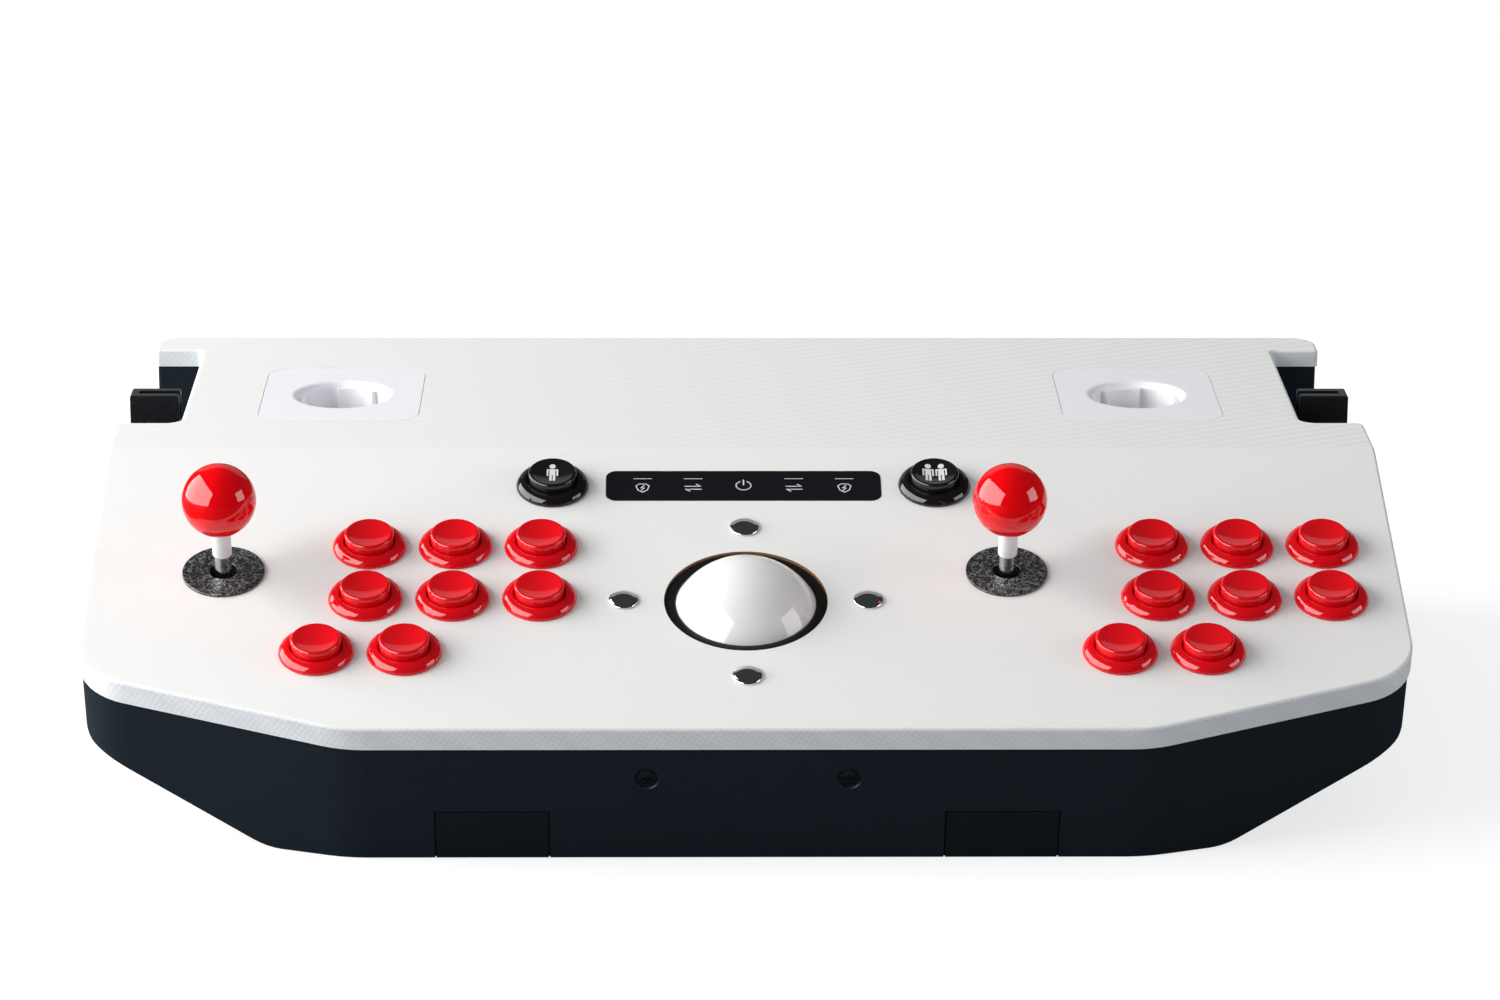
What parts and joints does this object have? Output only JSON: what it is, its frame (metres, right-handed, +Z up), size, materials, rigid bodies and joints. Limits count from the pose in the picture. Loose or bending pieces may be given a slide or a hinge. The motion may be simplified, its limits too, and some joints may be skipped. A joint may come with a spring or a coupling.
{
  "type": "arcade control panel",
  "caption": "Two-player arcade control panel: folded white board on a black housing, with ball-top joysticks, push buttons, a trackball, a touch strip and holder cups.",
  "frame": {"origin": "on the plane that the panel stands on, under the middle of its outline", "axes": "+X along the panel to the player's right, +Y away from the player, +Z up; the rear surface is level and the control surface slopes down to the player by 18.7 degrees"},
  "size_m": [0.622, 0.4128, 0.1682],
  "materials": {
    "board_white": "fibreboard wrapped in white twill-grain vinyl",
    "housing_black": "satin black moulding",
    "bracket_black": "satin black moulding",
    "holder_white": "soft white moulding",
    "strip_black": "glossy black overlay with printed icons",
    "circuit_board": "green circuit board",
    "button_red": "glossy red",
    "bezel_red": "glossy red",
    "button_black": "glossy black with a white pictogram",
    "bezel_black": "glossy black",
    "nut_black": "moulded nylon",
    "switch_black": "moulded switch case",
    "spring_steel": "drawn wire",
    "plate_steel": "zinc-plated sheet",
    "chrome": "polished chrome",
    "sleeve_white": "smooth white tube",
    "ball_red": "polished red ball knob",
    "trackball_white": "polished white",
    "collar_black": "satin black",
    "mechanism_black": "moulded mechanism case",
    "washer_black": "black with a leather grain",
    "screw_black": "blackened steel",
    "roller_steel": "ground steel"
  },
  "bodies": {
    "panel": {"deck_panel": "board_white", "case_shell": "housing_black", "bottom_cover": "housing_black", "controller_board": "circuit_board", "front_cover_left": "housing_black", "front_cover_right": "housing_black", "side_bracket_left": "bracket_black", "side_bracket_right": "bracket_black", "holder_left": "holder_white", "holder_right": "holder_white", "touch_strip": "strip_black", "touch_board": "circuit_board", "pan_head_screws": "screw_black", "button_bezels": "bezel_red", "start_bezels": "bezel_black", "button_nuts": "nut_black", "button_switches": "switch_black", "button_springs": "spring_steel", "dust_washers": "washer_black", "joystick_plates": "plate_steel", "joystick_housings": "mechanism_black", "joystick_switches": "switch_black", "trackball_collar": "collar_black", "trackball_housing": "mechanism_black", "trackball_sensor_boards": "circuit_board", "trackball_bolts": "chrome"},
    "button_p1_1": {"button_p1_1": "button_red"},
    "button_p1_2": {"button_p1_2": "button_red"},
    "button_p1_3": {"button_p1_3": "button_red"},
    "button_p1_4": {"button_p1_4": "button_red"},
    "button_p1_5": {"button_p1_5": "button_red"},
    "button_p1_6": {"button_p1_6": "button_red"},
    "button_p1_7": {"button_p1_7": "button_red"},
    "button_p1_8": {"button_p1_8": "button_red"},
    "button_p2_1": {"button_p2_1": "button_red"},
    "button_p2_2": {"button_p2_2": "button_red"},
    "button_p2_3": {"button_p2_3": "button_red"},
    "button_p2_4": {"button_p2_4": "button_red"},
    "button_p2_5": {"button_p2_5": "button_red"},
    "button_p2_6": {"button_p2_6": "button_red"},
    "button_p2_7": {"button_p2_7": "button_red"},
    "button_p2_8": {"button_p2_8": "button_red"},
    "start_button_p1": {"start_button_p1": "button_black"},
    "start_button_p2": {"start_button_p2": "button_black"},
    "stick_left_pivot": {"joystick_pivot_left": "mechanism_black"},
    "stick_left": {"joystick_ball_left": "ball_red", "joystick_shaft_left": "chrome", "joystick_sleeve_left": "sleeve_white", "joystick_actuator_left": "mechanism_black", "joystick_spring_left": "spring_steel"},
    "stick_right_pivot": {"joystick_pivot_right": "mechanism_black"},
    "stick_right": {"joystick_ball_right": "ball_red", "joystick_shaft_right": "chrome", "joystick_sleeve_right": "sleeve_white", "joystick_actuator_right": "mechanism_black", "joystick_spring_right": "spring_steel"},
    "ball": {"trackball": "trackball_white"},
    "roller_back_and_forth": {"trackball_roller_back_and_forth": "roller_steel"},
    "roller_sideways": {"trackball_roller_sideways": "roller_steel"},
    "idler": {"trackball_idler": "roller_steel"}
  },
  "joints": [
    {"name": "button_p1_1_press", "type": "slide", "parent": "panel", "child": "button_p1_1", "axis": [0, 0.3206, -0.9472], "range_m": [0, 0.0035], "stiffness_N_per_m": 200, "springref_m": -0.002, "deforming": ["button_springs"]},
    {"name": "button_p1_2_press", "type": "slide", "parent": "panel", "child": "button_p1_2", "axis": [0, 0.3206, -0.9472], "range_m": [0, 0.0035], "stiffness_N_per_m": 200, "springref_m": -0.002, "deforming": ["button_springs"]},
    {"name": "button_p1_3_press", "type": "slide", "parent": "panel", "child": "button_p1_3", "axis": [0, 0.3206, -0.9472], "range_m": [0, 0.0035], "stiffness_N_per_m": 200, "springref_m": -0.002, "deforming": ["button_springs"]},
    {"name": "button_p1_4_press", "type": "slide", "parent": "panel", "child": "button_p1_4", "axis": [0, 0.3206, -0.9472], "range_m": [0, 0.0035], "stiffness_N_per_m": 200, "springref_m": -0.002, "deforming": ["button_springs"]},
    {"name": "button_p1_5_press", "type": "slide", "parent": "panel", "child": "button_p1_5", "axis": [0, 0.3206, -0.9472], "range_m": [0, 0.0035], "stiffness_N_per_m": 200, "springref_m": -0.002, "deforming": ["button_springs"]},
    {"name": "button_p1_6_press", "type": "slide", "parent": "panel", "child": "button_p1_6", "axis": [0, 0.3206, -0.9472], "range_m": [0, 0.0035], "stiffness_N_per_m": 200, "springref_m": -0.002, "deforming": ["button_springs"]},
    {"name": "button_p1_7_press", "type": "slide", "parent": "panel", "child": "button_p1_7", "axis": [0, 0.3206, -0.9472], "range_m": [0, 0.0035], "stiffness_N_per_m": 200, "springref_m": -0.002, "deforming": ["button_springs"]},
    {"name": "button_p1_8_press", "type": "slide", "parent": "panel", "child": "button_p1_8", "axis": [0, 0.3206, -0.9472], "range_m": [0, 0.0035], "stiffness_N_per_m": 200, "springref_m": -0.002, "deforming": ["button_springs"]},
    {"name": "button_p2_1_press", "type": "slide", "parent": "panel", "child": "button_p2_1", "axis": [0, 0.3206, -0.9472], "range_m": [0, 0.0035], "stiffness_N_per_m": 200, "springref_m": -0.002, "deforming": ["button_springs"]},
    {"name": "button_p2_2_press", "type": "slide", "parent": "panel", "child": "button_p2_2", "axis": [0, 0.3206, -0.9472], "range_m": [0, 0.0035], "stiffness_N_per_m": 200, "springref_m": -0.002, "deforming": ["button_springs"]},
    {"name": "button_p2_3_press", "type": "slide", "parent": "panel", "child": "button_p2_3", "axis": [0, 0.3206, -0.9472], "range_m": [0, 0.0035], "stiffness_N_per_m": 200, "springref_m": -0.002, "deforming": ["button_springs"]},
    {"name": "button_p2_4_press", "type": "slide", "parent": "panel", "child": "button_p2_4", "axis": [0, 0.3206, -0.9472], "range_m": [0, 0.0035], "stiffness_N_per_m": 200, "springref_m": -0.002, "deforming": ["button_springs"]},
    {"name": "button_p2_5_press", "type": "slide", "parent": "panel", "child": "button_p2_5", "axis": [0, 0.3206, -0.9472], "range_m": [0, 0.0035], "stiffness_N_per_m": 200, "springref_m": -0.002, "deforming": ["button_springs"]},
    {"name": "button_p2_6_press", "type": "slide", "parent": "panel", "child": "button_p2_6", "axis": [0, 0.3206, -0.9472], "range_m": [0, 0.0035], "stiffness_N_per_m": 200, "springref_m": -0.002, "deforming": ["button_springs"]},
    {"name": "button_p2_7_press", "type": "slide", "parent": "panel", "child": "button_p2_7", "axis": [0, 0.3206, -0.9472], "range_m": [0, 0.0035], "stiffness_N_per_m": 200, "springref_m": -0.002, "deforming": ["button_springs"]},
    {"name": "button_p2_8_press", "type": "slide", "parent": "panel", "child": "button_p2_8", "axis": [0, 0.3206, -0.9472], "range_m": [0, 0.0035], "stiffness_N_per_m": 200, "springref_m": -0.002, "deforming": ["button_springs"]},
    {"name": "start_button_p1_press", "type": "slide", "parent": "panel", "child": "start_button_p1", "axis": [0, 0.3206, -0.9472], "range_m": [0, 0.0035], "stiffness_N_per_m": 200, "springref_m": -0.002, "deforming": ["button_springs"]},
    {"name": "start_button_p2_press", "type": "slide", "parent": "panel", "child": "start_button_p2", "axis": [0, 0.3206, -0.9472], "range_m": [0, 0.0035], "stiffness_N_per_m": 200, "springref_m": -0.002, "deforming": ["button_springs"]},
    {"name": "stick_left_back_and_forth", "type": "hinge", "parent": "panel", "child": "stick_left_pivot", "pos_m": [-0.2472, -0.09098, 0.10203], "axis": [1, 0, 0], "range_deg": [-8, 8], "stiffness_Nm_per_rad": 1.2},
    {"name": "stick_left_sideways", "type": "hinge", "parent": "stick_left_pivot", "child": "stick_left", "pos_m": [-0.2472, -0.09098, 0.10203], "axis": [0, 0.9472, 0.3206], "range_deg": [-8, 8], "stiffness_Nm_per_rad": 1.2},
    {"name": "stick_right_back_and_forth", "type": "hinge", "parent": "panel", "child": "stick_right_pivot", "pos_m": [0.1241, -0.09098, 0.10203], "axis": [1, 0, 0], "range_deg": [-8, 8], "stiffness_Nm_per_rad": 1.2},
    {"name": "stick_right_sideways", "type": "hinge", "parent": "stick_right_pivot", "child": "stick_right", "pos_m": [0.1241, -0.09098, 0.10203], "axis": [0, 0.9472, 0.3206], "range_deg": [-8, 8], "stiffness_Nm_per_rad": 1.2},
    {"name": "trackball_roll", "type": "hinge", "parent": "panel", "child": "ball", "pos_m": [0, -0.1081, 0.08399], "axis": [1, 0, 0], "continuous": true},
    {"name": "roller_back_and_forth_spin", "type": "hinge", "parent": "panel", "child": "roller_back_and_forth", "pos_m": [0, -0.14705, 0.06267], "axis": [1, 0, 0], "continuous": true},
    {"name": "roller_sideways_spin", "type": "hinge", "parent": "panel", "child": "roller_sideways", "pos_m": [-0.04372, -0.10563, 0.07669], "axis": [0, 0.9472, 0.3206], "continuous": true},
    {"name": "idler_spin", "type": "hinge", "parent": "panel", "child": "idler", "pos_m": [0.03092, -0.07635, 0.0866], "axis": [0.7071, -0.6698, -0.2267], "continuous": true}
  ],
  "couplings": [
    {"joint": "roller_back_and_forth_spin", "follows": "trackball_roll", "ratio": -6.35},
    {"joint": "idler_spin", "follows": "trackball_roll", "ratio": -4.4901}
  ]
}
